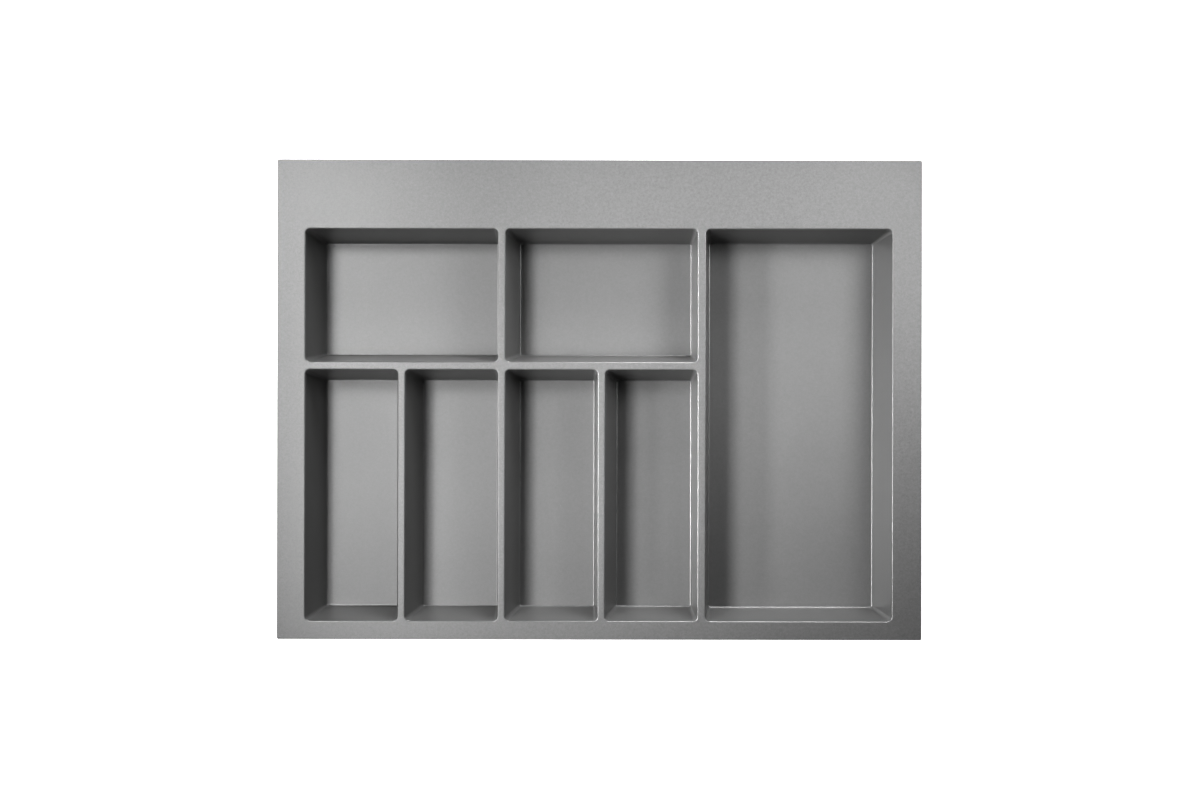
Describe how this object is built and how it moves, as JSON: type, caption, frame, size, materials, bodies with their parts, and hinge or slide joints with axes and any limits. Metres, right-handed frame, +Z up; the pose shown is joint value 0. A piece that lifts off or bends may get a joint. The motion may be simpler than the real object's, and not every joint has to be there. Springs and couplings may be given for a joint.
{
  "type": "cutlery tray",
  "caption": "Shallow vacuum-formed drawer tray with a flat trimmable flange and tapered wells: long narrow wells for cutlery, short wells behind them and a wide full-depth well beside them.",
  "frame": {"origin": "middle of the tray's outline, on the plane that it stands on", "axes": "+X to the right across the tray, with the wide well on that side; +Y to the rear of the drawer; +Z up"},
  "size_m": [0.645, 0.48, 0.05],
  "materials": {
    "grained_plastic": "satin grey sheet with a fine pebble grain"
  },
  "bodies": {
    "root": {"tray": "grained_plastic"}
  },
  "joints": []
}
